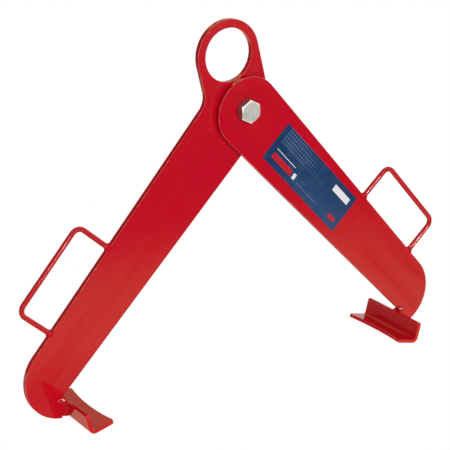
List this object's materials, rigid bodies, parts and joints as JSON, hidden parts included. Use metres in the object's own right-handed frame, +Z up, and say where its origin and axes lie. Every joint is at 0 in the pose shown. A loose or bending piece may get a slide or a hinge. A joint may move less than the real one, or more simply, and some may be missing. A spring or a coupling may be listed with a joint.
{
  "type": "drum grab",
  "caption": "Lifting grab for steel drums: two flat legs cross on a pivot bolt, one with a lifting eye, each with a claw and a carrying handle.",
  "frame": {"origin": "on the floor that the two claws stand on, under the middle of the grab's overall width and depth", "axes": "+Z up, +X across the grab from the eye leg's claw to the plain leg's claw, +Y along the pivot bolt from its head to its nut"},
  "size_m": [0.5726, 0.1068, 0.4281],
  "materials": {
    "paint": "glossy red powder coat",
    "zinc": "dull bright zinc plate",
    "nylon": "natural nylon",
    "label": "printed vinyl film under a clear layer"
  },
  "bodies": {
    "eye_leg": {"eye_leg_plate": "paint", "eye_leg_claw": "paint", "eye_claw_front_weld": "paint", "eye_claw_rear_weld": "paint", "eye_claw_top_weld": "paint", "eye_leg_handle": "paint", "eye_handle_top_weld": "paint", "eye_handle_foot_weld": "paint", "pivot_bolt": "zinc", "pivot_washer": "zinc", "pivot_nut": "zinc", "nut_insert": "nylon"},
    "plain_leg": {"plain_leg_plate": "paint", "plain_leg_claw": "paint", "plain_claw_front_weld": "paint", "plain_claw_rear_weld": "paint", "plain_claw_top_weld": "paint", "plain_leg_handle": "paint", "plain_handle_top_weld": "paint", "plain_handle_foot_weld": "paint", "data_label": "label"}
  },
  "joints": [
    {"name": "leg_swing", "type": "hinge", "parent": "eye_leg", "child": "plain_leg", "pos_m": [0.00128, 0, 0.3234], "axis": [0, -1, 0], "range_deg": [-64, 55]}
  ]
}
